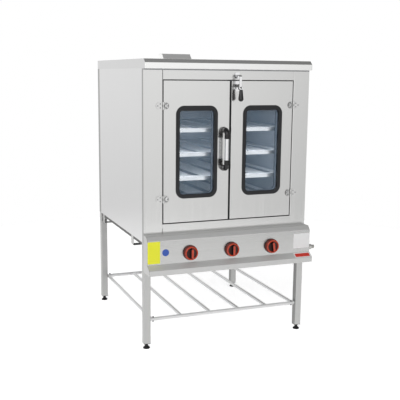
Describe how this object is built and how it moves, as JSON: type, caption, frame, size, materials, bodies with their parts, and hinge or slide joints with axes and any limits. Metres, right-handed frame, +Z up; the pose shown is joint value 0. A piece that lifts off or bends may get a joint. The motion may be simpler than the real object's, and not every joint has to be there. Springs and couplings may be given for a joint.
{
  "type": "gas pastry oven",
  "caption": "Free-standing stainless gas pastry oven with glazed hinged doors, red control knobs, a low flue cowl and an open tube shelf between square legs.",
  "frame": {"origin": "centre of the bounding box in X and Y, on the floor under the feet", "axes": "+Z up, front with the doors and knobs towards -Y, gas inlet towards +X"},
  "size_m": [1.006, 1.0656, 1.593],
  "materials": {
    "sheet_steel": "satin stainless sheet",
    "oven_steel": "plain stainless sheet",
    "rack_steel": "bright stainless sheet",
    "tube_steel": "satin stainless tube",
    "burner_steel": "dull aluminised tube",
    "zinc_pipe": "zinc plated",
    "brass": "turned brass",
    "mineral_wool": "matt wool",
    "black_bolt": "black oxide",
    "bright_metal": "polished",
    "black_plastic": "moulded, slightly glossy",
    "black_rubber": "extruded rubber",
    "window_glass": "clear toughened glass",
    "red_plastic": "glossy red plastic"
  },
  "bodies": {
    "cabinet": {"lid": "sheet_steel", "side_panel_left": "sheet_steel", "side_panel_right": "sheet_steel", "rear_panel": "sheet_steel", "post_left": "sheet_steel", "post_right": "sheet_steel", "header_rail": "sheet_steel", "sill_rail": "sheet_steel", "control_panel": "sheet_steel", "panel_ends": "sheet_steel", "flue_cowl": "sheet_steel", "chamber_walls": "oven_steel", "chamber_floor": "oven_steel", "rack_guides": "oven_steel", "flue_duct": "oven_steel", "burner_straps": "oven_steel", "rack_1": "rack_steel", "rack_2": "rack_steel", "rack_3": "rack_steel", "rack_4": "rack_steel", "front_legs": "tube_steel", "rear_legs": "tube_steel", "side_rails": "tube_steel", "cross_tubes": "tube_steel", "shelf_tubes": "tube_steel", "burners": "burner_steel", "gas_manifold": "zinc_pipe", "gas_valves": "brass", "insulation": "mineral_wool", "corner_bolts": "black_bolt", "frame_hinge_leaves": "bright_metal", "latch_keeper": "bright_metal", "leg_inserts": "black_plastic"},
    "left_door": {"left_door_skin": "sheet_steel", "left_door_inner": "oven_steel", "left_window_seal": "black_rubber", "left_panes": "window_glass", "left_hinge_leaves": "bright_metal", "handle_bar": "bright_metal", "handle_ends": "black_plastic"},
    "right_door": {"right_door_skin": "sheet_steel", "right_door_inner": "oven_steel", "right_window_seal": "black_rubber", "right_panes": "window_glass", "right_hinge_leaves": "bright_metal", "meeting_seal": "black_rubber", "latch_base": "bright_metal"},
    "latch_lever": {"latch_lever": "bright_metal", "latch_grip": "black_plastic"},
    "latch_hook": {"latch_hook": "bright_metal"},
    "spindle_1": {"spindle_1": "brass"},
    "knob_1": {"knob_1": "red_plastic"},
    "spindle_2": {"spindle_2": "brass"},
    "knob_2": {"knob_2": "red_plastic"},
    "spindle_3": {"spindle_3": "brass"},
    "knob_3": {"knob_3": "red_plastic"},
    "foot_1": {"foot_1": "black_plastic"},
    "foot_2": {"foot_2": "black_plastic"},
    "foot_3": {"foot_3": "black_plastic"},
    "foot_4": {"foot_4": "black_plastic"}
  },
  "joints": [
    {"name": "left_door_hinge", "type": "hinge", "parent": "cabinet", "child": "left_door", "pos_m": [-0.39525, -0.43325, 1.0615], "axis": [0, 0, -1], "range_deg": [0, 120]},
    {"name": "right_door_hinge", "type": "hinge", "parent": "cabinet", "child": "right_door", "pos_m": [0.35925, -0.43325, 1.0615], "axis": [0, 0, 1], "range_deg": [0, 120]},
    {"name": "latch_lever_pivot", "type": "hinge", "parent": "right_door", "child": "latch_lever", "pos_m": [0.02, -0.44925, 1.411], "axis": [-1, 0, 0], "range_deg": [0, 90]},
    {"name": "latch_hook_pivot", "type": "hinge", "parent": "latch_lever", "child": "latch_hook", "pos_m": [0.02, -0.46725, 1.405], "axis": [1, 0, 0], "range_deg": [0, 90]},
    {"name": "knob_push_1", "type": "slide", "parent": "cabinet", "child": "spindle_1", "axis": [0, 1, 0], "range_m": [0, 0.004], "stiffness_N_per_m": 400},
    {"name": "knob_turn_1", "type": "hinge", "parent": "spindle_1", "child": "knob_1", "pos_m": [-0.265, -0.49725, 0.535], "axis": [0, -1, 0], "range_deg": [0, 270]},
    {"name": "knob_push_2", "type": "slide", "parent": "cabinet", "child": "spindle_2", "axis": [0, 1, 0], "range_m": [0, 0.004], "stiffness_N_per_m": 400},
    {"name": "knob_turn_2", "type": "hinge", "parent": "spindle_2", "child": "knob_2", "pos_m": [-0.025, -0.49725, 0.535], "axis": [0, -1, 0], "range_deg": [0, 270]},
    {"name": "knob_push_3", "type": "slide", "parent": "cabinet", "child": "spindle_3", "axis": [0, 1, 0], "range_m": [0, 0.004], "stiffness_N_per_m": 400},
    {"name": "knob_turn_3", "type": "hinge", "parent": "spindle_3", "child": "knob_3", "pos_m": [0.215, -0.49725, 0.535], "axis": [0, -1, 0], "range_deg": [0, 270]},
    {"name": "foot_screw_1", "type": "slide", "parent": "cabinet", "child": "foot_1", "axis": [0, 0, -1], "range_m": [0, 0.015]},
    {"name": "foot_screw_2", "type": "slide", "parent": "cabinet", "child": "foot_2", "axis": [0, 0, -1], "range_m": [0, 0.015]},
    {"name": "foot_screw_3", "type": "slide", "parent": "cabinet", "child": "foot_3", "axis": [0, 0, -1], "range_m": [0, 0.015]},
    {"name": "foot_screw_4", "type": "slide", "parent": "cabinet", "child": "foot_4", "axis": [0, 0, -1], "range_m": [0, 0.015]}
  ],
  "couplings": [
    {"joint": "latch_hook_pivot", "follows": "latch_lever_pivot", "ratio": 1}
  ]
}
